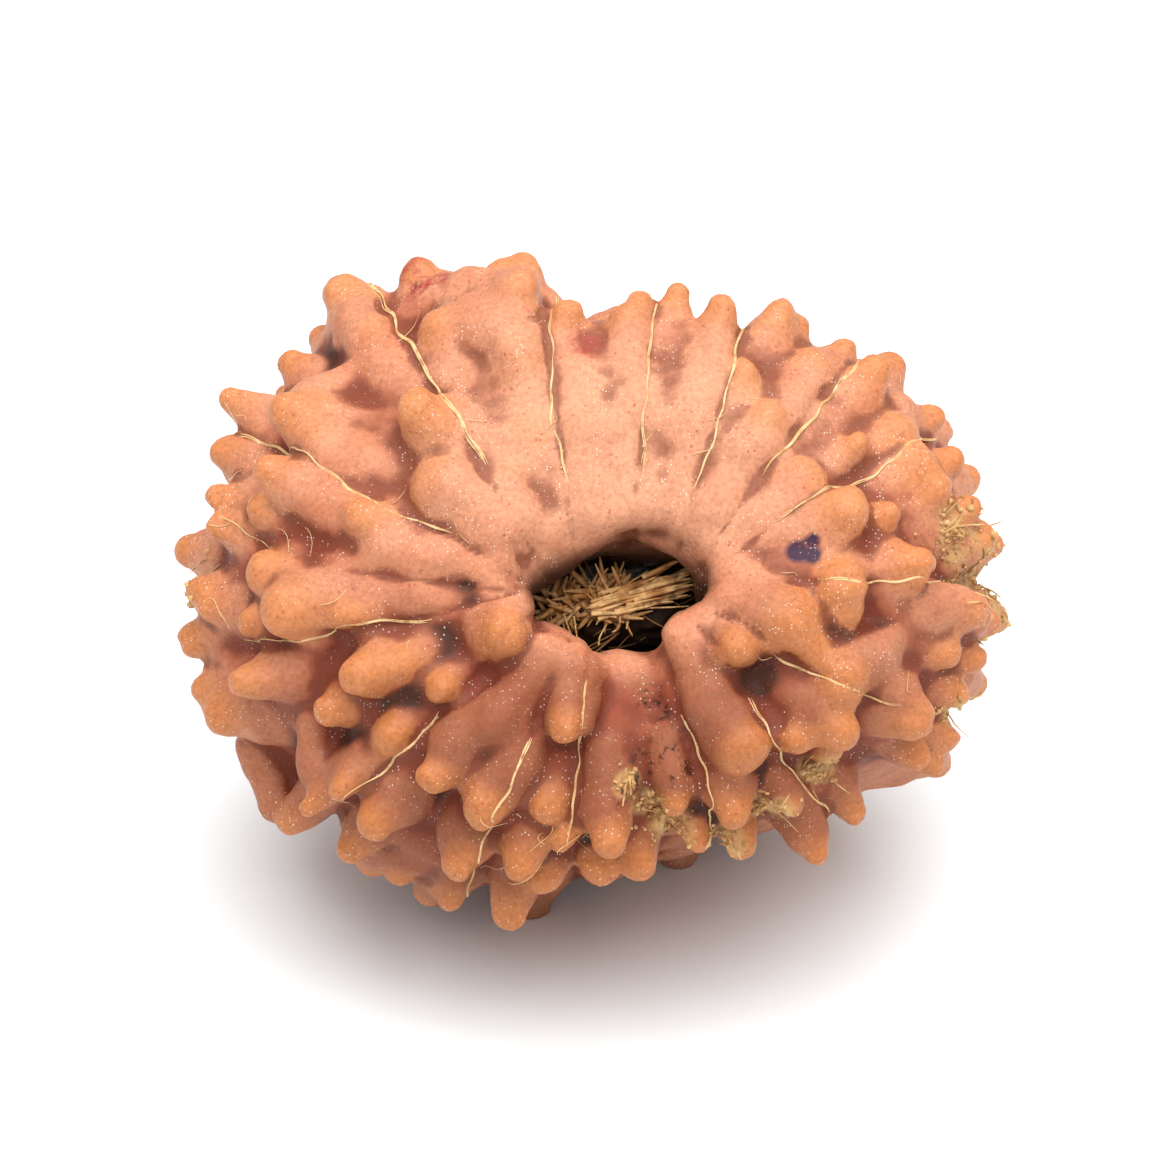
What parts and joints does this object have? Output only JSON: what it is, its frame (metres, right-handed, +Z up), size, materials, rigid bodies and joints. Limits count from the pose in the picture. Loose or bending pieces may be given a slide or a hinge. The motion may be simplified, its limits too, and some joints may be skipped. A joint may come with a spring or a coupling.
{
  "type": "rudraksha seed",
  "caption": "Large dried rudraksha seed: an oval, rounded, knobbly cushion cut by radial grooves, with dried fibre left in the narrow hole through it, resting tilted on its knobs.",
  "frame": {"origin": "on the surface it rests on, under the middle of the seed's outline", "axes": "+Z up; +X along the seed's longest side; -Y towards the side that its upper face leans to"},
  "size_m": [0.0328, 0.0276, 0.0268],
  "materials": {
    "seed_shell": "satin, waxy on the knob tips, dusty in the valleys",
    "dry_fibre": "matt, frayed plant fibre"
  },
  "bodies": {
    "root": {"seed_stone": "seed_shell", "channel_fibre": "dry_fibre"}
  },
  "joints": []
}
